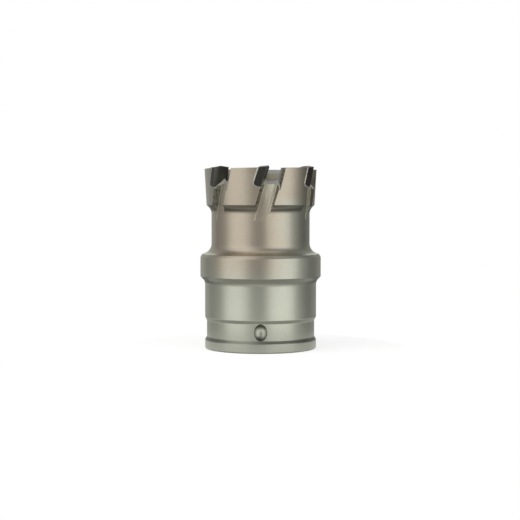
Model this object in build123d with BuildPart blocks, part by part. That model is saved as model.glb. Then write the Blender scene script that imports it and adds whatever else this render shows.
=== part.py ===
from build123d import *
from math import acos, cos, degrees, radians, sin, sqrt, tan
import os

# A carbide-tipped hole cutter, standing on its shank end with its teeth up.
# The axis is Z, the bottom face is at Z = 0, and the detent dimple faces -Y. Millimetres and degrees.

# Overall sizes
overall_height = 44.67
cut_diameter = 28.575
kerf_width = 3.4

# Shank collar, from the bottom face up to the flange
shank_diameter = 27.3
shank_length = 17.75
shank_edge_chamfer = 0.3
shank_edge_radius = 0.15
lip_height = 2.25
groove_diameter = 26.4
groove_floor_width = 4.0
groove_lower_run = 0.75
groove_upper_run = 0.85
groove_edge_radius = 0.25

# Flange above the shank
flange_diameter = 29.56
flange_height = 5.44
flange_undercut = 1.25
flange_shank_radius = 1.8
flange_edge_radius = 0.2
flange_bevel_width = 0.42
flange_bevel_height = 0.7
flange_shoulder_radius = 0.6
flange_crest_radius = 0.15
flange_top_slope = 20.0

# Barrel between the flange and the crown
barrel_neck_radius = 2.3
barrel_foot_share = 0.7

# Crown of teeth
crown_height = 9.05
crown_shoulder = 1.2
crown_taper = 0.5
crown_edge_radius = 0.1
tip_overhang = 0.5475
tip_rise = 0.45
tip_lean = 17.3
flute_helix = 18.0
face_skew = 17.0
land_relief = 1.0

# Each tooth in turn: where its cutting edge is, as an angle from the front, how wide the gap ahead of it
# is at the crown's outside, and how much lower than the highest tooth it stands
tooth_angles = (-49.5, 6.3, 64.6, 125.5, 186.0, 246.2)
tooth_gaps = (18.9, 19.9, 20.0, 19.0, 19.0, 19.0)
tooth_drops = (0.1, 0.1, 0.0, 0.25, 0.1, 0.1)
gullet_slope = 45.0
gullet_depth = 3.22
gullet_roundness = 0.6

# Chip flute below each gullet
flute_depth = 0.15
flute_front_back = -0.3
flute_ramp = 4.8
flute_step_inset = 3.2
flute_ledge_inset = 1.3
flute_ledge_height = 0.06
flute_wall_foot = 0.45
flute_length = 13.11
flute_runout = 1.8

# Carbide tips and the braze behind and under them
tip_thickness = 1.8
tip_height = 5.3
tip_relief = 4.0
tip_side_relief = 3.0
tip_crown_peak = 0.42
tip_crown_drop = 0.32
tip_corner_radius = 0.5
braze_thickness = 0.28

# Bores
slug_clearance = 0.12
slug_bore_depth = 23.71
slug_floor_radius = 1.0
pilot_diameter = 6.35
shank_bore_diameter = 19.05
shank_bore_depth = 12.0
shank_bore_chamfer = 0.6
shank_floor_radius = 0.5

# Detent dimple in the groove
dimple_width = 3.3
dimple_height = 4.05
dimple_depth = 1.2

# Radii and levels worked out from the sizes above
tip_radius = cut_diameter / 2
slug_radius = tip_radius - kerf_width
crown_top_radius = tip_radius - tip_overhang
crown_bottom_radius = crown_top_radius - crown_taper
barrel_radius = crown_bottom_radius - crown_shoulder
slug_bore_radius = slug_radius + slug_clearance
crown_top = overall_height - tip_rise
crown_bottom = crown_top - crown_height
flange_top = shank_length + flange_height
flange_top_radius = flange_diameter / 2 - flange_bevel_width
flange_top_run = flange_top_radius - barrel_radius
barrel_foot = flange_top + flange_top_run * tan(radians(flange_top_slope))
barrel_foot_reach = barrel_foot_share * flange_top_run / cos(radians(flange_top_slope))
barrel_foot_radius = barrel_foot_reach / tan(radians((90 - flange_top_slope) / 2))
slug_floor = crown_top - slug_bore_depth
groove_bottom = lip_height + groove_lower_run
groove_top = groove_bottom + groove_floor_width
twist_rate = degrees(tan(radians(flute_helix)) / crown_top_radius)
clear_of_part = 2.0
clear_of_bore = 0.4

# A cutting edge is skewed by face_skew and ends on the slug circle: its width, and how far its end leads
edge_reach = tip_radius * cos(radians(face_skew))
tip_width = edge_reach - sqrt(edge_reach**2 - tip_radius**2 + slug_radius**2)
inner_skew = degrees(acos((edge_reach - tip_width) / slug_radius))
inner_lead = inner_skew - face_skew


def polar(radius, angle, z=0.0):
    """Point at a radius and an angle about the cutter's axis."""
    return (radius * cos(radians(angle)), radius * sin(radians(angle)), z)


# Turned blank: every corner of its section with its radius, up the outside and back down the bores
section = [
    (shank_diameter / 2 - shank_edge_chamfer, 0, shank_edge_radius),
    (shank_diameter / 2, shank_edge_chamfer, shank_edge_radius),
    (shank_diameter / 2, lip_height, groove_edge_radius),
    (groove_diameter / 2, groove_bottom, groove_edge_radius),
    (groove_diameter / 2, groove_top, groove_edge_radius),
    (shank_diameter / 2, groove_top + groove_upper_run, groove_edge_radius),
    (shank_diameter / 2, shank_length - flange_undercut, flange_shank_radius),
    (flange_diameter / 2, shank_length, flange_edge_radius),
    (flange_diameter / 2, flange_top - flange_bevel_height, flange_shoulder_radius),
    (flange_top_radius, flange_top, flange_crest_radius),
    (barrel_radius, barrel_foot, barrel_foot_radius),
    (barrel_radius, crown_bottom - crown_shoulder, barrel_neck_radius),
    (crown_bottom_radius, crown_bottom, crown_edge_radius),
    (crown_top_radius, crown_top, 0),
    (slug_bore_radius, crown_top, 0),
    (slug_bore_radius, slug_floor, slug_floor_radius),
    (pilot_diameter / 2, slug_floor, 0),
    (pilot_diameter / 2, shank_bore_depth, 0),
    (shank_bore_diameter / 2, shank_bore_depth, shank_floor_radius),
    (shank_bore_diameter / 2, shank_bore_chamfer, 0),
    (shank_bore_diameter / 2 + shank_bore_chamfer, 0, 0),
]
with BuildPart() as blank:
    with BuildSketch(Plane.XZ):
        with BuildLine():
            FilletPolyline(
                *[(radius, z) for radius, z, _ in section],
                radius=[corner for _, _, corner in section],
                close=True,
            )
        make_face()
    revolve(axis=Axis.Z)

# Frame of one cutting edge, with its outer end at angle 0. Every tooth is made there and then turned to
# its place. x runs inward along the edge, y back into the tooth and z up its lean.
edge = Plane(
    origin=(tip_radius, 0, overall_height),
    x_dir=polar(-1, -face_skew),
    z_dir=polar(sin(radians(tip_lean)), 90 - face_skew, cos(radians(tip_lean))),
)


def make_flute(gap):
    """Helical chip flute ahead of a tooth, which runs out on the barrel."""
    runout_end = crown_top - flute_length
    floor_radius = barrel_radius - flute_depth
    ledge_radius = barrel_radius + flute_ledge_height
    outside_radius = crown_top_radius + clear_of_part
    levels = [
        (runout_end, barrel_radius + flute_ledge_height / 2),
        (runout_end + flute_runout, floor_radius),
        (crown_bottom, floor_radius),
        (crown_bottom + crown_height / 2, floor_radius),
        (crown_top + clear_of_part, floor_radius),
    ]
    with BuildPart() as flute:
        for z, floor in levels:
            front = flute_front_back - twist_rate * (overall_height - z)
            back = gap - twist_rate * (crown_top - z)
            floor_start, floor_end = front + flute_ramp, back - flute_step_inset
            with BuildSketch(Plane.XY.offset(z)):
                with BuildLine():
                    Polyline(
                        polar(floor, floor_start),
                        polar(crown_top_radius, front),
                        polar(outside_radius, front),
                        polar(outside_radius, back),
                        polar(ledge_radius + flute_wall_foot, back),
                        polar(ledge_radius, back - flute_ledge_inset),
                        polar(ledge_radius, floor_end),
                        polar(floor, floor_end),
                    )
                    ThreePointArc(
                        polar(floor, floor_end),
                        polar(floor, (floor_start + floor_end) / 2),
                        polar(floor, floor_start),
                    )
                make_face()
        loft()
    return flute.part


def make_gullet(gap):
    """Slot through the wall, between the cutting face at angle 0 and the next tooth's back face."""
    corner = Vector(polar(crown_top_radius, gap, crown_top))
    inward = Vector(polar(-1, gap))
    near = edge.to_local_coords(corner - inward * clear_of_part)
    far = edge.to_local_coords(corner + inward * (tip_width + clear_of_bore))
    middle = gap / 2 - twist_rate * gullet_depth
    floor = Plane(
        origin=polar(slug_bore_radius, middle, crown_top - gullet_depth),
        z_dir=polar(sin(radians(gullet_slope)), middle, cos(radians(gullet_slope))),
    )
    with BuildPart() as gullet:
        with BuildSketch(edge):
            with BuildLine():
                Polyline(
                    (-clear_of_part, 0),
                    (tip_width + clear_of_bore, 0),
                    (far.X, far.Y),
                    (near.X, near.Y),
                    close=True,
                )
            make_face()
        extrude(amount=crown_height, both=True)
        split(bisect_by=floor, keep=Keep.TOP)
        floor_face = faces().sort_by(lambda face: face.normal_at().dot(floor.z_dir))[0]
        radial = Vector(polar(1, middle))
        *_, side, other_side = floor_face.edges().sort_by(lambda line: abs((line % 0.5).dot(radial)))
        fillet([side, other_side], gullet_roundness * abs(far.Y) / 2)
    return gullet.part


def make_land_relief(gap_behind, pitch_behind, drop):
    """What a tooth's top gives up: it starts a drop below the blank's top and falls from edge to back."""
    land = Plane(
        origin=(tip_radius, 0, crown_top - drop),
        x_dir=polar(-1, -face_skew),
        z_dir=polar(sin(radians(land_relief)), -90 - face_skew, cos(radians(land_relief))),
    )
    inner, outer = slug_radius - clear_of_part, tip_radius + clear_of_part
    ends_at = (gap_behind + inner_lead) / 2 - pitch_behind
    back = [land.to_local_coords(Vector(polar(radius, ends_at, crown_top))) for radius in (inner, outer)]
    with BuildPart() as relief:
        with BuildSketch(land):
            with BuildLine():
                Polyline(
                    (-clear_of_part, -clear_of_part),
                    (tip_width + clear_of_part, -clear_of_part),
                    *[(corner.X, corner.Y) for corner in back],
                    close=True,
                )
            make_face()
        extrude(amount=clear_of_part)
    return relief.part


def make_pocket(margin):
    """Space of a tip that runs the whole way through the wall, grown by a margin behind and below."""
    with BuildPart() as pocket:
        with BuildSketch(edge.offset(-tip_height - margin)):
            with Locations((-clear_of_part, 0)):
                Rectangle(tip_width + 2 * clear_of_part, tip_thickness + margin, align=Align.MIN)
        extrude(amount=tip_height + margin + clear_of_part)
        heel = edges().sort_by(lambda line: line.center().dot(edge.y_dir - edge.z_dir))[-1]
        fillet(heel, tip_corner_radius + margin)
    return pocket.part


def crown_plane(slope):
    """Plane through the highest point of the cutting edge, falling along the edge and back from it."""
    fall_back = tan(radians(tip_lean + tip_relief))
    normal = Vector(1, 0, slope).cross(Vector(0, 1, -fall_back))
    peak = edge.from_local_coords((tip_width * tip_crown_peak, 0, 0))
    return Plane(origin=peak, z_dir=edge.from_local_coords(normal) - edge.origin)


# Carbide tip: a block with a round heel, relieved beside the slug, crowned and relieved on top
inner_taper = tip_thickness * tan(radians(inner_skew + tip_side_relief))
with BuildPart() as tip:
    with BuildSketch(edge.offset(-tip_height)):
        with BuildLine():
            Polyline(
                (0, 0),
                (tip_width, 0),
                (tip_width - inner_taper, tip_thickness),
                (0, tip_thickness),
                close=True,
            )
        make_face()
    extrude(amount=tip_height + clear_of_part)
    heel = edges().sort_by(lambda line: line.center().dot(edge.y_dir - edge.z_dir))[-1]
    fillet(heel, tip_corner_radius)
    split(bisect_by=crown_plane(tip_crown_drop / (tip_width * tip_crown_peak)), keep=Keep.BOTTOM)
    split(bisect_by=crown_plane(-tip_crown_drop / (tip_width * (1 - tip_crown_peak))), keep=Keep.BOTTOM)


def make_tooth(gap, gap_behind, pitch_behind, drop):
    """The cuts that leave one tooth, with its tip and the braze that fills the rest of its pocket."""
    set_down = Pos(*(edge.z_dir * -drop))
    flute = make_flute(gap)
    relief = make_land_relief(gap_behind, pitch_behind, drop)
    with BuildPart() as pocket:
        with Locations(set_down):
            add(make_pocket(braze_thickness))
    with BuildPart() as seated_tip:
        with Locations(set_down):
            add(tip.part)
    with BuildPart() as seam:
        add(pocket.part)
        with Locations(set_down):
            add(make_pocket(0), mode=Mode.SUBTRACT)
        add(flute, mode=Mode.SUBTRACT)
        add(relief, mode=Mode.SUBTRACT)
        add(blank.part, mode=Mode.INTERSECT)
    return [flute, make_gullet(gap), relief, pocket.part], seated_tip.part, seam.part


# The six teeth, each with its own turn about the axis, where the angle at the front is -90
teeth = []
for number, (angle, gap, drop) in enumerate(zip(tooth_angles, tooth_gaps, tooth_drops)):
    pitch_behind = (angle - tooth_angles[number - 1]) % 360
    teeth.append((Rotation(0, 0, angle - 90), *make_tooth(gap, tooth_gaps[number - 1], pitch_behind, drop)))

# Oval dimple that the locking ball of the holder drops into
ball_radius = ((dimple_width / 2) ** 2 + dimple_depth**2) / (2 * dimple_depth)
ball_centre = groove_diameter / 2 + ball_radius - dimple_depth
with BuildPart() as dimple:
    Sphere(ball_radius)
    scale(by=(1, 1, dimple_height / dimple_width))

# Cutter body: the blank with the cuts of every tooth and the dimple
with BuildPart() as cutter_body:
    add(blank.part)
    for turn, cuts, _, _ in teeth:
        with Locations(turn):
            for cut in cuts:
                add(cut, mode=Mode.SUBTRACT)
    with Locations((0, -ball_centre, (groove_bottom + groove_top) / 2)):
        add(dimple.part, mode=Mode.SUBTRACT)

os.makedirs("parts", exist_ok=True)
cutter_body.part.label = "cutter_body"
export_step(cutter_body.part, "parts/cutter_body.step")
for number, (turn, _, seated_tip, seam) in enumerate(teeth, start=1):
    for name, piece in (("carbide_tip", seated_tip), ("braze_seam", seam)):
        with BuildPart() as placed:
            with Locations(turn):
                add(piece)
        placed.part.label = f"{name}_{number}"
        export_step(placed.part, f"parts/{name}_{number}.step")
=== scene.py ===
import math
from functools import partial
from types import SimpleNamespace

import bmesh
import bpy
from bpy.props import FloatProperty, FloatVectorProperty, PointerProperty
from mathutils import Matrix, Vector, noise


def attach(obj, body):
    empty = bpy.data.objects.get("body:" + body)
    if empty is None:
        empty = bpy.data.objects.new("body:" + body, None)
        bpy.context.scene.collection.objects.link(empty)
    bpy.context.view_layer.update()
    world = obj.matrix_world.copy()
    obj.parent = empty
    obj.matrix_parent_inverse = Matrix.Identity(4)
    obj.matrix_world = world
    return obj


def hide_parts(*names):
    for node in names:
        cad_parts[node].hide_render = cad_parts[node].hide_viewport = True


bl_info = {
    "name": "Hole Cutter Looks",
    "version": (1, 0, 0),
    "blender": (4, 5, 0),
    "location": "3D Viewport > Sidebar > Hole Cutter",
    "description": "Dresses the packed hole cutter with its finishes and a small photo studio",
    "category": "Object",
}

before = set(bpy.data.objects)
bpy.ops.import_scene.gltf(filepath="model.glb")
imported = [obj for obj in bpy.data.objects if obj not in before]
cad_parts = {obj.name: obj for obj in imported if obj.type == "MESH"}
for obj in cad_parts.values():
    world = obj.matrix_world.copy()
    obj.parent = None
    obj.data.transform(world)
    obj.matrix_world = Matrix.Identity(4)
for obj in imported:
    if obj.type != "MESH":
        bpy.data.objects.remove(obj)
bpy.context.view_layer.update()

BODY = "cutter_body"
TIPS = [name for name in sorted(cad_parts) if name.startswith("carbide_tip_")]
SEAMS = [name for name in sorted(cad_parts) if name.startswith("braze_seam_")]

# Places on the body, in metres, as the CAD has them
BARREL_RADIUS = 0.01204
CROWN_RADIUS = 0.01374
CROWN_BOTTOM = 0.03517
CROWN_TOP = 0.04422
FLUTE_FOOT = 0.0305
FLUTE_LEAN = math.radians(18)
GROOVE_RADIUS = 0.0132
GROOVE_TOP = 0.0102
DIMPLE_HEIGHT = 0.005
LIP_HEIGHT = 0.00225
BORE_RADIUS = 0.011

# Where one finish passes into another, in metres: it starts at the first distance and is whole at the second
CROWN_CUT = (CROWN_RADIUS - 0.00055, CROWN_RADIUS - 0.00065)
CROWN_FOOT = (CROWN_BOTTOM, CROWN_BOTTOM + 0.0001)
BARREL_CUT = (BARREL_RADIUS - 0.00005, BARREL_RADIUS - 0.00011)
FLUTE_RUN_OUT = (FLUTE_FOOT + 0.0005, FLUTE_FOOT + 0.007)
BORE_RIM_HEIGHT = (CROWN_TOP - 0.0014, CROWN_TOP - 0.0009)
BORE_RIM_RADIUS = (BORE_RADIUS + 0.0003, BORE_RADIUS + 0.0001)
HEAT_RISE = (0.012, 0.026)
HEAT_CROWN = (0.034, 0.038)
HEAT_RIGHT = (0.0, 0.0095)
HEAT_LEFT = (-0.0128, -0.0095)
DARKER_RIGHT_ACROSS = (0.0085, 0.011)
DARKER_RIGHT_RISE = (0.022, 0.027)
CORNER_SHADE_RISE = (0.0325, 0.0345)
TOOTH_WALL_RADIUS = (0.0119, 0.0121)
TOOTH_WALL_RISE = (0.0335, 0.0345)
WALL_SHADE_RIGHT = (0.006, 0.010)
DIMPLE_TOP = (GROOVE_TOP, GROOVE_TOP - 0.0002)
DIMPLE_MOUTH = (GROOVE_RADIUS - 0.00003, GROOVE_RADIUS - 0.00012)
DIMPLE_FLOOR = (BORE_RADIUS - 0.0005, BORE_RADIUS)
DIMPLE_RIM_RADIUS = (GROOVE_RADIUS - 0.0005, GROOVE_RADIUS)
DIMPLE_RIM_HEIGHT = (0.0007, 0.0017)
LIP_FLANK_FOOT = (LIP_HEIGHT, LIP_HEIGHT + 0.00015)
LIP_FLANK_TOP = (LIP_HEIGHT + 0.00075, LIP_HEIGHT + 0.0006)
LEDGE_RADIUS = (0.0115, 0.012)
LOW_COLLAR_SHADE_HEIGHT = (0.011, 0.0)
CUTTING_EDGE = (CROWN_RADIUS - 0.0012, CROWN_RADIUS + 0.0003)

# Sizes of the patterns, in metres. A squeeze makes one narrower across than along.
HEAT_PATCH = 0.004
MILL_MARK = 0.0035
MILL_MARK_SQUEEZE = (12, 1, 6)
FLUX_SPOT = 0.0006
WHEEL_MARK = 0.003
WHEEL_MARK_SQUEEZE = (10, 10, 1)
CARBIDE_GRAIN = 0.00015
CARBIDE_EDGE = 0.00008
BRAZE_SPOT = 0.0005
BRAZE_RIPPLE = 0.0003
CORNER_REACH = 0.0006
BEAD_VOXEL = 0.00008
BEAD_LUMP = 0.0007
BEAD_RIPPLE = 0.0003

# Colours that the finishes pass into, with the painted highlight and the painted shades laid over them
DARKER_RIGHT_PLATE = "#8d917f"
DULL_MILLED_STEEL = "#b8b39e"
BLASTED_PITS = "#77786c"
WORN_EDGE_HIGHLIGHT = "#e2e4da"
LIP_FLANK_SHADE = "#6e6f63"
LEDGE_SHADE = "#4c4d44"
LOW_COLLAR_SHADE = "#83857b"
CARBIDE_WHEEL_MARKS = "#4a4842"
CARBIDE_PITS = "#2a2825"
GROUND_CARBIDE_EDGE_HIGHLIGHT = "#84867c"

# The studio, in metres and degrees: azimuth 0 is the camera's side
LAMP_DISTANCE = 0.5
LAMPS = (  # azimuth, elevation, width and height
    ("left_lamp", -52, 23, (0.55, 0.93)),
    ("right_lamp", 43.5, 8, (0.56, 0.54)),
    ("top_lamp", 0, 79, (0.6, 0.19)),
)
ROOM_RADIUS = 0.9
ROOM_TOP = 0.9
ROOM_BOTTOM = -0.8
CURTAINS = (  # first and last azimuth
    ("left_far_curtain", -165, -130, "#b4b4b4"),
    ("left_back_curtain", -130, -112, "#868686"),
    ("left_curtain", -112, -6, "#989898"),
    ("right_curtain", -6, 72, "#808080"),
    ("right_side_curtain", 72, 96, "#909090"),
    ("right_back_curtain", 96, 130, "#707070"),
    ("right_far_curtain", 130, 165, "#9c9c9c"),
)
LOW_CURTAIN_RADIUS = 0.88
LOW_CURTAIN_TOP = -0.27
FLOOR_RADIUS = 0.036

# Settings of nodes
TIMES = {"operation": "MULTIPLY"}
TIMES_PLUS = {"operation": "MULTIPLY_ADD"}
LARGER = {"operation": "MAXIMUM"}
SMOOTH = {"interpolation_type": "SMOOTHSTEP"}
COLOURS = {"data_type": "RGBA"}
SAMPLES = {"samples": 6}


def linear(hex_colour):
    """An sRGB hex colour as linear red, green, blue and alpha."""
    channels = [int(hex_colour[i : i + 2], 16) / 255 for i in (1, 3, 5)]
    return [c / 12.92 if c <= 0.04045 else ((c + 0.055) / 1.055) ** 2.4 for c in channels] + [1.0]


def node(tree, kind, settings=None, **inputs):
    """Adds one shader node with its settings, and fills its inputs.

    An input goes by its name, with _ for a space, or by its place, as _0. From and To take a least and
    a most. An input is filled by a value, an output, or a node, which gives its first output in use.
    """
    made = tree.nodes.new("ShaderNode" + kind)
    for name, value in (settings or {}).items():
        setattr(made, name, value)
    for name in ("From", "To"):
        if name in inputs:
            inputs[name + "_Min"], inputs[name + "_Max"] = inputs.pop(name)
    for name, value in inputs.items():
        if name[1:].isdigit():
            socket = made.inputs[int(name[1:])]
        else:
            socket = next(s for s in made.inputs if s.enabled and s.name == name.replace("_", " "))
        if isinstance(value, bpy.types.Node):
            value = next(s for s in value.outputs if s.enabled)
        if isinstance(value, bpy.types.NodeSocket):
            tree.links.new(value, socket)
        else:
            socket.default_value = value
    return made


def new_material(name):
    """An empty node material, and what adds nodes to it."""
    material = bpy.data.materials.new(name)
    material.use_nodes = True
    material.node_tree.nodes.clear()
    return material, partial(node, material.node_tree)


def dress(obj, material):
    """Gives every slot of a piece one material."""
    obj.data.materials.clear()
    obj.data.materials.append(material)


def bearings(add):
    """Where a point lies on the cutter, and which way its face looks."""
    place = add("TexCoord").outputs["Object"]
    x, y, z = add("SeparateXYZ", Vector=place).outputs
    across = add("CombineXYZ", X=x, Y=y)
    radius = add("VectorMath", {"operation": "LENGTH"}, _0=across)
    facing = add("NewGeometry").outputs["Normal"]
    away = add("VectorMath", {"operation": "NORMALIZE"}, _0=across)
    outward = add("VectorMath", {"operation": "DOT_PRODUCT"}, _0=away, _1=facing)
    return SimpleNamespace(place=place, x=x, y=y, z=z, radius=radius, facing=facing, outward=outward)


def rounded_edges(add, at, radius):
    """The normal as if every sharp edge were broken by this radius, and where those edges are, from 0 to 1."""
    rounded = add("Bevel", SAMPLES, Radius=radius)
    agreement = add("VectorMath", {"operation": "DOT_PRODUCT"}, _0=rounded, _1=at.facing)
    return rounded, add("MapRange", SMOOTH, Value=agreement, From=(0.995, 0.9))


# Finishes


def heated_plate(add, at, finish):
    """The plate's colour: heated unevenly towards the teeth, less so at both sides, and drawn darker and greener at
    the right of the barrel.
    """
    rise = add("MapRange", SMOOTH, Value=at.z, From=HEAT_RISE)
    right = add("MapRange", SMOOTH, Value=at.x, From=HEAT_RIGHT, To=(1.0, 0.25))
    crown = add("MapRange", SMOOTH, Value=at.z, From=HEAT_CROWN, To=(0.0, 0.85))
    left = add("MapRange", SMOOTH, Value=at.x, From=HEAT_LEFT, To=(0.35, 1.0))
    heat = add("Math", TIMES, _0=rise, _1=add("Math", LARGER, _0=right, _1=crown))
    heat = add("Math", TIMES, _0=heat, _1=left)
    patches = add("TexNoise", Vector=at.place, Scale=1 / HEAT_PATCH, Detail=2.0)
    heat = add("Math", TIMES_PLUS, _0=patches, _1=0.5, _2=heat)
    heat = add("MapRange", SMOOTH, Value=heat, From=(0.25, 1.25))
    plate = add("Mix", COLOURS, Factor=heat, A=finish.plate_colour, B=finish.heated_plate_colour)
    # Drawn darker and greener at the right side of the barrel and crown.
    darker_right_across = add("MapRange", SMOOTH, Value=at.x, From=DARKER_RIGHT_ACROSS)
    darker_right_rise = add("MapRange", SMOOTH, Value=at.z, From=DARKER_RIGHT_RISE, To=(0.0, 0.55))
    darker_right = add("Math", TIMES, _0=darker_right_across, _1=darker_right_rise)
    return add("Mix", COLOURS, Factor=darker_right, A=plate, B=linear(DARKER_RIGHT_PLATE))


def milled_faces(add, at, upward):
    """Where the body is milled, and where that is a gullet's floor or the bore's rim, each from 0 to 1."""
    crown_cut = add("MapRange", SMOOTH, Value=at.radius, From=CROWN_CUT)
    crown_foot = add("MapRange", SMOOTH, Value=at.z, From=CROWN_FOOT)
    crown = add("Math", TIMES, _0=crown_cut, _1=crown_foot)
    barrel_cut = add("MapRange", SMOOTH, Value=at.radius, From=BARREL_CUT)
    run_out = add("MapRange", SMOOTH, Value=at.z, From=FLUTE_RUN_OUT)
    barrel = add("Math", TIMES, _0=barrel_cut, _1=run_out)
    floor = add("MapRange", SMOOTH, Value=upward, From=(0.25, 0.5))
    rim_height = add("MapRange", SMOOTH, Value=at.z, From=BORE_RIM_HEIGHT)
    rim_radius = add("MapRange", SMOOTH, Value=at.radius, From=BORE_RIM_RADIUS)
    rim = add("Math", TIMES, _0=rim_height, _1=rim_radius)
    gullet = add("Math", TIMES, _0=crown, _1=add("Math", LARGER, _0=floor, _1=rim))
    return add("Math", LARGER, _0=crown, _1=barrel), gullet


def mill_marks(add, at):
    """Streaks about 0.3 mm apart that lean with the flutes, as the mill left them."""
    turn = add("Math", {"operation": "ARCTAN2"}, _0=at.y, _1=at.x)
    round_the_crown = add("Math", TIMES, _0=turn, _1=CROWN_RADIUS)
    slant = add("Math", TIMES_PLUS, _0=at.z, _1=-math.tan(FLUTE_LEAN), _2=round_the_crown)
    unrolled = add("CombineXYZ", X=slant, Y=at.z, Z=at.radius)
    squeezed = add("VectorMath", TIMES, _0=unrolled, _1=MILL_MARK_SQUEEZE)
    return add("TexNoise", Vector=squeezed, Scale=1 / MILL_MARK, Detail=3.0)


def shade_and_flux_places(add, at, upward, open_side):
    """Where painted shade and flux lie, from 0 to 1: painted shade in the corners by the teeth, on the teeth's
    sideways walls, where real flux spots lie too, and round the dimple's rim.
    """
    # Painted shade: corners near the teeth, found by ambient occlusion, are darkened.
    corner = add("MapRange", SMOOTH, Value=open_side, From=(0.5, 0.2))
    near_teeth = add("MapRange", SMOOTH, Value=at.z, From=CORNER_SHADE_RISE, To=(0.0, 0.75))
    painted_corner_shade = add("Math", TIMES, _0=corner, _1=near_teeth)

    # Painted shade on the teeth's steep walls that face sideways, stronger towards the right, mixed with real flux
    # spots.
    wall_radius = add("MapRange", SMOOTH, Value=at.radius, From=TOOTH_WALL_RADIUS)
    wall_rise = add("MapRange", SMOOTH, Value=at.z, From=TOOTH_WALL_RISE)
    sideways = add("Math", {"operation": "ABSOLUTE"}, _0=at.outward)
    sideways = add("MapRange", SMOOTH, Value=sideways, From=(0.75, 0.45))
    steep = add("MapRange", SMOOTH, Value=upward, From=(0.5, 0.2))
    wall = add("Math", TIMES, _0=wall_radius, _1=wall_rise)
    wall = add("Math", TIMES, _0=wall, _1=add("Math", TIMES, _0=sideways, _1=steep))
    spots = add("TexNoise", Vector=at.place, Scale=1 / FLUX_SPOT, Detail=4.0)
    spots = add("MapRange", SMOOTH, Value=spots, From=(0.45, 0.6))
    spots = add("MapRange", SMOOTH, Value=spots, From=(0.0, 1.0), To=(0.21, 0.665))
    shade_to_right = add("MapRange", SMOOTH, Value=at.x, From=WALL_SHADE_RIGHT, To=(0.0, 0.56))
    wall_shade_and_flux = add("Math", TIMES, _0=wall, _1=add("Math", LARGER, _0=spots, _1=shade_to_right))

    # Painted shade in the dimple, darkest near its mouth and towards its top and bottom.
    mouth = add("MapRange", SMOOTH, Value=at.radius, From=DIMPLE_MOUTH)
    floor = add("MapRange", SMOOTH, Value=at.radius, From=DIMPLE_FLOOR)
    below_top = add("MapRange", SMOOTH, Value=at.z, From=DIMPLE_TOP)
    dimple = add("Math", TIMES, _0=below_top, _1=add("Math", TIMES, _0=mouth, _1=floor))
    from_middle = add("Math", {"operation": "SUBTRACT"}, _0=at.z, _1=DIMPLE_HEIGHT)
    from_middle = add("Math", {"operation": "ABSOLUTE"}, _0=from_middle)
    rim_radius = add("MapRange", SMOOTH, Value=at.radius, From=DIMPLE_RIM_RADIUS, To=(0.0, 0.51))
    rim_height = add("MapRange", SMOOTH, Value=from_middle, From=DIMPLE_RIM_HEIGHT, To=(0.0, 0.85))
    rim = add("Math", TIMES, _0=dimple, _1=add("Math", LARGER, _0=rim_radius, _1=rim_height))

    return add("Math", LARGER, _0=add("Math", LARGER, _0=painted_corner_shade, _1=wall_shade_and_flux), _1=rim)


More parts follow.
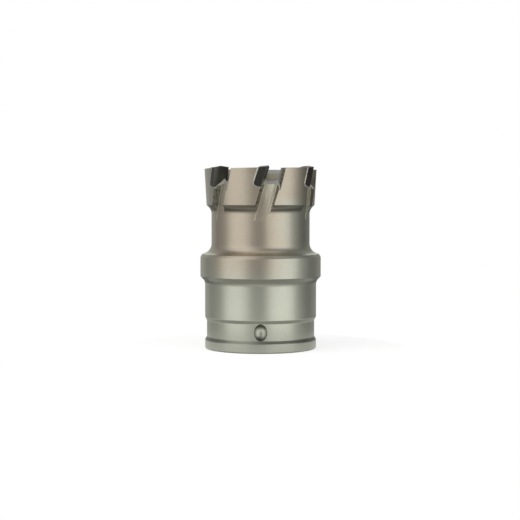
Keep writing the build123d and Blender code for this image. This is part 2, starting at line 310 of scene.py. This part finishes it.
def satin_nickel(finish):
    """Bead-blasted steel under a thin nickel plate, with its flutes, gullets and bore left as milled.

    The plate gives a soft satin shine, greenish grey on the collar and pinker towards the teeth, where
    brazing heated it, and it is drawn darker and greener at the right of the barrel. The blasting is a fine
    even grain. The milled faces are barer, greyer and streaked along the cut. The gullet floors that face
    up are drawn near white, partly as bare ground steel and partly as painted light. Painted shade darkens
    the corners by the teeth, the teeth's sideways walls, where real flux spots lie too, and the dimple's rim.
    The edges are drawn lighter, partly as wear and partly as a painted highlight. The ledges that look down,
    the lip's upper flank and the foot of the collar are drawn darker as painted shade.
    """
    material, add = new_material("satin_nickel_plate")
    at = bearings(add)
    upward = add("SeparateXYZ", Vector=at.facing).outputs["Z"]
    milled, gullet = milled_faces(add, at, upward)
    streaks = mill_marks(add, at)
    grain = add("TexNoise", Vector=at.place, Scale=1 / finish.grain_size, Detail=3.0)
    open_side = add("AmbientOcclusion", SAMPLES, Distance=CORNER_REACH).outputs["AO"]
    shade_and_flux = shade_and_flux_places(add, at, upward, open_side)
    rounded, edge = rounded_edges(add, at, finish.edge_radius)

    between_streaks = add("MapRange", SMOOTH, Value=streaks, From=(0.3, 0.7))
    pits = add("MapRange", SMOOTH, Value=grain, From=(0.25, 0.75), To=(0.0, 0.09))
    exposed = add("MapRange", SMOOTH, Value=open_side, From=(0.55, 0.85), To=(0.0, 0.6))
    flank_foot = add("MapRange", SMOOTH, Value=at.z, From=LIP_FLANK_FOOT)
    flank_top = add("MapRange", SMOOTH, Value=at.z, From=LIP_FLANK_TOP, To=(0.0, 0.55))
    downward = add("MapRange", SMOOTH, Value=upward, From=(-0.1, -0.5))
    ledge_radius = add("MapRange", SMOOTH, Value=at.radius, From=LEDGE_RADIUS, To=(0.0, 0.75))

    bare = add("Mix", COLOURS, Factor=between_streaks, A=finish.milled_colour, B=linear(DULL_MILLED_STEEL))
    # The gullets' upward floors turn near white: partly bare ground steel, partly painted light.
    bare = add("Mix", COLOURS, Factor=gullet, A=bare, B=finish.lit_gullet_floor_colour)
    colour = add("Mix", COLOURS, Factor=milled, A=heated_plate(add, at, finish), B=bare)
    for share, layer in (
        (pits, linear(BLASTED_PITS)),
        (shade_and_flux, finish.flux_and_shade_colour),
        # Edges away from corners are lighter: partly wear, partly a painted highlight.
        (add("Math", TIMES, _0=edge, _1=exposed), linear(WORN_EDGE_HIGHLIGHT)),
        # Painted shade on the lip's upper flank.
        (add("Math", TIMES, _0=flank_foot, _1=flank_top), linear(LIP_FLANK_SHADE)),
        # Painted shade on the ledges that look down.
        (add("Math", TIMES, _0=downward, _1=ledge_radius), linear(LEDGE_SHADE)),
        # Painted shade, darker towards the foot of the collar.
        (add("MapRange", SMOOTH, Value=at.z, From=LOW_COLLAR_SHADE_HEIGHT, To=(0.0, 0.55)), linear(LOW_COLLAR_SHADE)),
    ):
        colour = add("Mix", COLOURS, Factor=share, A=colour, B=layer)

    rough = add("MapRange", SMOOTH, Value=grain, From=(0.2, 0.8), To=(0.34, 0.42))
    rough = add("Math", TIMES_PLUS, _0=shade_and_flux, _1=0.2, _2=rough)
    rough = add("Math", TIMES_PLUS, _0=gullet, _1=0.3, _2=rough)
    height = add("Math", TIMES_PLUS, _0=add("Math", TIMES, _0=milled, _1=streaks), _1=1.5, _2=grain)
    bump = add("Bump", Strength=0.25, Distance=0.00002, Height=height, Normal=rounded)
    shader = add("BsdfPrincipled", Metallic=1.0, Roughness=rough, Base_Color=colour, Normal=bump)
    add("OutputMaterial", Surface=shader)
    return material


def ground_carbide(finish):
    """Sintered tungsten carbide, ground on its faces: a dark, dense, slightly green grey with a low shine.

    The fine noise is its sintered grain, drawn coarser than the real thousandths of a millimetre so
    that it shows. The streaks are the wheel's marks, about 0.3 mm apart. The faces behind the cutting
    edges are lighter, where they are ground. Every edge is lighter too, partly ground and partly a painted highlight.
    """
    material, add = new_material("ground_carbide")
    at = bearings(add)
    squeezed = add("VectorMath", TIMES, _0=at.place, _1=WHEEL_MARK_SQUEEZE)
    marks = add("TexNoise", Vector=squeezed, Scale=1 / WHEEL_MARK, Detail=3.0)
    grain = add("TexNoise", Vector=at.place, Scale=1 / CARBIDE_GRAIN, Detail=3.0)
    rounded, edge = rounded_edges(add, at, CARBIDE_EDGE)
    rake = add("MapRange", SMOOTH, Value=at.outward, From=(0.7, 0.4))
    near_cut = add("MapRange", SMOOTH, Value=at.radius, From=CUTTING_EDGE, To=(0.35, 1.0))

    colour = finish.carbide_colour
    for share, layer in (
        (add("MapRange", SMOOTH, Value=marks, From=(0.3, 0.7)), linear(CARBIDE_WHEEL_MARKS)),
        (add("MapRange", SMOOTH, Value=grain, From=(0.3, 0.8), To=(0.0, 0.3)), linear(CARBIDE_PITS)),
        (add("Math", TIMES, _0=rake, _1=near_cut), finish.rake_colour),
        # Edges lighter: partly ground, partly a painted highlight.
        (add("Math", TIMES, _0=edge, _1=0.35), linear(GROUND_CARBIDE_EDGE_HIGHLIGHT)),
    ):
        colour = add("Mix", COLOURS, Factor=share, A=colour, B=layer)

    rough = add("MapRange", SMOOTH, Value=marks, From=(0.2, 0.8), To=(0.3, 0.42))
    height = add("Math", TIMES_PLUS, _0=marks, _1=3.0, _2=grain)
    bump = add("Bump", Strength=0.2, Distance=0.00001, Height=height, Normal=rounded)
    shader = add("BsdfPrincipled", Metallic=0.7, Roughness=rough, Base_Color=colour, Normal=bump)
    add("OutputMaterial", Surface=shader)
    return material


def silver_braze(finish):
    """Silver brazing alloy, as it froze: pale and slightly yellow, with dull spots of flux and painted shade in its
    hollows.
    """
    material, add = new_material("silver_braze")
    place = add("TexCoord").outputs["Object"]
    open_side = add("AmbientOcclusion", SAMPLES, Distance=CORNER_REACH).outputs["AO"]
    # Painted shade in the hollows that ambient occlusion finds.
    hollow_shade = add("MapRange", SMOOTH, Value=open_side, From=(0.75, 0.4), To=(0.0, 0.7))
    spots = add("TexNoise", Vector=place, Scale=1 / BRAZE_SPOT, Detail=3.0)
    spots = add("MapRange", SMOOTH, Value=spots, From=(0.48, 0.64), To=(0.0, 0.35))
    shade_and_flux = add("Math", LARGER, _0=hollow_shade, _1=spots)
    colour = add("Mix", COLOURS, Factor=shade_and_flux, A=finish.braze_colour, B=finish.flux_and_shade_colour)
    ripple = add("TexNoise", Vector=place, Scale=1 / BRAZE_RIPPLE, Detail=2.0)
    rough = add("MapRange", SMOOTH, Value=ripple, From=(0.3, 0.7), To=(0.28, 0.45))
    add("OutputMaterial", Surface=add("BsdfPrincipled", Metallic=1.0, Roughness=rough, Base_Color=colour))
    return material


def braze_bead(seam, finish):
    """The bead of brazing alloy round a tip: its seam, swollen and rounded, a little uneven as it froze."""
    bead = bpy.data.objects.new(seam.name.replace("seam", "bead"), seam.data.copy())
    bpy.context.scene.collection.objects.link(bead)
    remesh = bead.modifiers.new("remesh", "REMESH")
    remesh.mode = "VOXEL"
    remesh.voxel_size = BEAD_VOXEL
    shape = bmesh.new()
    shape.from_object(bead, bpy.context.evaluated_depsgraph_get())
    bead.modifiers.clear()
    soften = partial(
        bmesh.ops.smooth_vert, shape, verts=shape.verts, factor=0.5, use_axis_x=True, use_axis_y=True, use_axis_z=True
    )
    soften()
    shape.normal_update()
    moves = []
    for vertex in shape.verts:
        uneven = noise.noise(vertex.co / BEAD_LUMP) + 0.5 * noise.noise(vertex.co / BEAD_RIPPLE)
        moves.append(vertex.normal * (finish.bead_swell + finish.bead_unevenness * uneven))
    for vertex, move in zip(shape.verts, moves):
        vertex.co += move
    for _ in range(2):
        soften()
    for face in shape.faces:
        face.smooth = True
    shape.to_mesh(bead.data)
    shape.free()
    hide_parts(seam.name)
    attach(bead, "root")
    return bead


# What a user can change


def colour_setting(name, description, hex_colour):
    """A colour that the panel shows."""
    return FloatVectorProperty(
        name=name, description=description, default=linear(hex_colour), size=4, subtype="COLOR", min=0, max=1
    )


def length_setting(name, description, default):
    """A length that the panel shows."""
    return FloatProperty(name=name, description=description, default=default, unit="LENGTH", precision=5)


def brightness_setting(name, default):
    """A lamp's brightness that the panel shows."""
    return FloatProperty(
        name=name, description="Its brightness, with white as 1", default=default, subtype="FACTOR", min=0, max=3
    )


class HoleCutterFinish(bpy.types.PropertyGroup):
    plate_colour: colour_setting("Plate Colour", "Nickel plate on the collar", "#cfd1c1")
    heated_plate_colour: colour_setting("Heated Plate", "Nickel plate near the brazed teeth", "#ccc0ad")
    milled_colour: colour_setting("Milled Steel", "Bare steel in the flutes and bore", "#cfc9b6")
    # Near white: partly bare ground steel, partly painted light on the floors that face up.
    lit_gullet_floor_colour: colour_setting("Gullet Colour", "Freshly ground floors of the gullets", "#e2e3de")
    carbide_colour: colour_setting("Carbide Colour", "Ground faces of the tips", "#3e3a36")
    rake_colour: colour_setting("Rake Colour", "Freshly ground strip of carbide behind each cutting edge", "#7e8176")
    braze_colour: colour_setting("Braze Colour", "Alloy round the tips", "#dcdacb")
    # Both the real flux spots and the painted shade in corners, on the teeth's walls, at the dimple's rim and in the
    # braze's hollows take this colour.
    flux_and_shade_colour: colour_setting("Flux Colour", "Dark residue in the corners by the tips", "#32322b")
    grain_size: length_setting("Grain Size", "Spacing of the blasted grain, drawn coarser than real", 0.0003)
    edge_radius: length_setting("Edge Radius", "How far the edges are worn", 0.00018)
    bead_swell: length_setting("Bead Swell", "How far the braze stands out of its seam", 0.00012)
    bead_unevenness: length_setting("Bead Unevenness", "How far the braze wanders from an even bead", 0.00006)


class HoleCutterStage(bpy.types.PropertyGroup):
    camera_distance: length_setting("Camera Distance", "From the camera to the cutter's axis", 0.3277)
    camera_aside: length_setting("Camera Aside", "How far the camera stands to the right of the axis", -0.00014)
    camera_height: length_setting("Camera Height", "Camera above the surface that the cutter stands on", 0.03686)
    aim_height: length_setting("Aim Height", "Height on the axis that the camera looks at", 0.02166)
    lens: FloatProperty(
        name="Lens", description="Focal length of the camera", default=92.4, subtype="DISTANCE_CAMERA", unit="CAMERA"
    )
    left_lamp: brightness_setting("Left Lamp", 0.71)
    right_lamp: brightness_setting("Right Lamp", 0.9)
    top_lamp: brightness_setting("Top Lamp", 0.6)


class OBJECT_OT_cutter_body(bpy.types.Operator):
    """Dress the turned, milled and plated cutter body"""

    bl_idname = "object.cutter_body"
    bl_label = "Cutter Body"

    def execute(self, context):
        dress(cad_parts[BODY], satin_nickel(context.scene.hole_cutter_finish))
        return {"FINISHED"}


class OBJECT_OT_cutter_tips(bpy.types.Operator):
    """Dress the carbide tips"""

    bl_idname = "object.cutter_tips"
    bl_label = "Carbide Tips"

    def execute(self, context):
        carbide = ground_carbide(context.scene.hole_cutter_finish)
        for name in TIPS:
            dress(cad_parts[name], carbide)
        return {"FINISHED"}


class OBJECT_OT_cutter_braze(bpy.types.Operator):
    """Make the beads of brazing alloy round the tips"""

    bl_idname = "object.cutter_braze"
    bl_label = "Braze Beads"

    def execute(self, context):
        finish = context.scene.hole_cutter_finish
        braze = silver_braze(finish)
        for name in SEAMS:
            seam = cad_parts[name]
            dress(seam, braze)
            dress(braze_bead(seam, finish), braze)
        return {"FINISHED"}


# The studio


def lamp_panel(name, azimuth, elevation, size, brightness, target):
    """A soft lamp that faces the cutter, where a brightness of 1 is plain white."""
    lamp = bpy.data.lights.new(name, "AREA")
    lamp.shape = "RECTANGLE"
    lamp.size, lamp.size_y = size
    lamp.energy = brightness * math.pi * size[0] * size[1]
    obj = bpy.data.objects.new(name, lamp)
    turn, rise = math.radians(azimuth), math.radians(elevation)
    away = Vector((math.sin(turn) * math.cos(rise), -math.cos(turn) * math.cos(rise), math.sin(rise)))
    obj.location = target + away * LAMP_DISTANCE
    obj.rotation_mode = "QUATERNION"
    obj.rotation_quaternion = away.to_track_quat("Z", "Y")
    obj.visible_camera = False
    bpy.context.scene.collection.objects.link(obj)


def stage_piece(name, mesh, material):
    """One piece of the studio, which isn't part of the cutter."""
    obj = bpy.data.objects.new(name, mesh)
    mesh.materials.append(material)
    bpy.context.scene.collection.objects.link(obj)
    return obj


def glowing_piece(name, mesh, hex_colour):
    """A curtain or sheet of an even brightness, which the metal mirrors and the camera doesn't see."""
    material, add = new_material(name)
    add("OutputMaterial", Surface=add("Emission", Color=linear(hex_colour), Strength=1.0))
    obj = stage_piece(name, mesh, material)
    obj.visible_camera = obj.visible_shadow = False


def curtain_mesh(name, radius, low, high, first, last):
    """A wall round the cutter, from one azimuth to another."""
    mesh = bpy.data.meshes.new(name)
    shape = bmesh.new()
    steps = 24
    columns = []
    for step in range(steps + 1):
        turn = math.radians(first + (last - first) * step / steps)
        x, y = radius * math.sin(turn), -radius * math.cos(turn)
        columns.append([shape.verts.new((x, y, z)) for z in (low, high)])
    for (a, b), (c, d) in zip(columns, columns[1:]):
        shape.faces.new((a, c, d, b))
    shape.to_mesh(mesh)
    shape.free()
    return mesh


def disc_mesh(name, radius, z):
    """A flat round sheet."""
    mesh = bpy.data.meshes.new(name)
    shape = bmesh.new()
    bmesh.ops.create_circle(shape, cap_ends=True, segments=96, radius=radius)
    bmesh.ops.translate(shape, verts=shape.verts, vec=(0, 0, z))
    shape.to_mesh(mesh)
    shape.free()
    return mesh


def seen_or_mirrored(add):
    """1 where the camera sees a surface itself, mirrored or through another, and 0 where it only lights."""
    path = add("LightPath").outputs
    mirrored = add("Math", LARGER, _0=path["Is Glossy Ray"], _1=path["Is Transmission Ray"])
    return add("Math", LARGER, _0=path["Is Camera Ray"], _1=mirrored)


def pale_floor():
    """Pale paper, lifted to white where it is seen, so that only the cutter's soft shadow shows on it."""
    material, add = new_material("pale_floor")
    paper = add("BsdfDiffuse", Color=linear("#d8d8d6"))
    lifted = add("AddShader", _0=paper, _1=add("Emission", Color=linear("#ffffff"), Strength=0.7))
    add("OutputMaterial", Surface=add("MixShader", _0=seen_or_mirrored(add), _1=paper, _2=lifted))
    return material


def studio_world(name):
    """A room that is white where it is seen and lights the cutter as a grey one."""
    world = bpy.data.worlds.new(name)
    world.use_nodes = True
    world.node_tree.nodes.clear()
    add = partial(node, world.node_tree)
    room = add("Background", Color=linear("#a8a8a8"), Strength=1.0)
    white = add("Background", Color=linear("#ffffff"), Strength=1.0)
    add("OutputWorld", Surface=add("MixShader", _0=seen_or_mirrored(add), _1=room, _2=white))
    return world


class SCENE_OT_cutter_stage(bpy.types.Operator):
    """Make the camera, the pale floor and the studio light"""

    bl_idname = "scene.cutter_stage"
    bl_label = "Stage"

    def execute(self, context):
        scene = context.scene
        settings = scene.hole_cutter_stage
        camera = bpy.data.objects.new("camera", bpy.data.cameras.new("camera"))
        camera.data.lens = settings.lens
        camera.data.sensor_width = 36
        camera.data.clip_start = 0.01
        camera.location = (settings.camera_aside, -settings.camera_distance, settings.camera_height)
        look = Vector((settings.camera_aside, 0, settings.aim_height)) - camera.location
        camera.rotation_mode = "QUATERNION"
        camera.rotation_quaternion = look.to_track_quat("-Z", "Y")
        scene.collection.objects.link(camera)
        scene.camera = camera

        target = Vector((0, 0, settings.aim_height))
        for name, azimuth, elevation, size in LAMPS:
            lamp_panel(name, azimuth, elevation, size, getattr(settings, name), target)
        for name, first, last, hex_colour in CURTAINS:
            mesh = curtain_mesh(name, ROOM_RADIUS, ROOM_BOTTOM, ROOM_TOP, first, last)
            glowing_piece(name, mesh, hex_colour)
        mesh = curtain_mesh("low_curtain", LOW_CURTAIN_RADIUS, ROOM_BOTTOM, LOW_CURTAIN_TOP, -165, 165)
        glowing_piece("low_curtain", mesh, "#8a8a8a")
        glowing_piece("ceiling", disc_mesh("ceiling", ROOM_RADIUS, ROOM_TOP), "#707274")
        glowing_piece("table", disc_mesh("table", ROOM_RADIUS, ROOM_BOTTOM), "#505050")

        # The floor is small, so that the metal mirrors little of its white. Beyond it the world is as white.
        stage_piece("floor", disc_mesh("floor", FLOOR_RADIUS, 0.0), pale_floor())
        scene.world = studio_world("studio")
        scene.view_settings.view_transform = "Standard"
        return {"FINISHED"}


class VIEW3D_PT_hole_cutter(bpy.types.Panel):
    """Steps that dress the hole cutter"""

    bl_label = "Hole Cutter"
    bl_space_type = "VIEW_3D"
    bl_region_type = "UI"
    bl_category = "Hole Cutter"

    def draw(self, context):
        for settings in (context.scene.hole_cutter_finish, context.scene.hole_cutter_stage):
            for name in settings.__annotations__:
                self.layout.prop(settings, name)
        for operator in STEPS:
            self.layout.operator(operator.bl_idname)


STEPS = (OBJECT_OT_cutter_body, OBJECT_OT_cutter_tips, OBJECT_OT_cutter_braze, SCENE_OT_cutter_stage)
CLASSES = (HoleCutterFinish, HoleCutterStage, *STEPS, VIEW3D_PT_hole_cutter)


def register():
    for cls in CLASSES:
        bpy.utils.register_class(cls)
    bpy.types.Scene.hole_cutter_finish = PointerProperty(type=HoleCutterFinish)
    bpy.types.Scene.hole_cutter_stage = PointerProperty(type=HoleCutterStage)


def unregister():
    del bpy.types.Scene.hole_cutter_stage
    del bpy.types.Scene.hole_cutter_finish
    for cls in reversed(CLASSES):
        bpy.utils.unregister_class(cls)


def main():
    """Registers the add-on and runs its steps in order."""
    register()
    bpy.ops.object.cutter_body()
    bpy.ops.object.cutter_tips()
    bpy.ops.object.cutter_braze()
    bpy.ops.scene.cutter_stage()


if __name__ == "__main__":
    main()
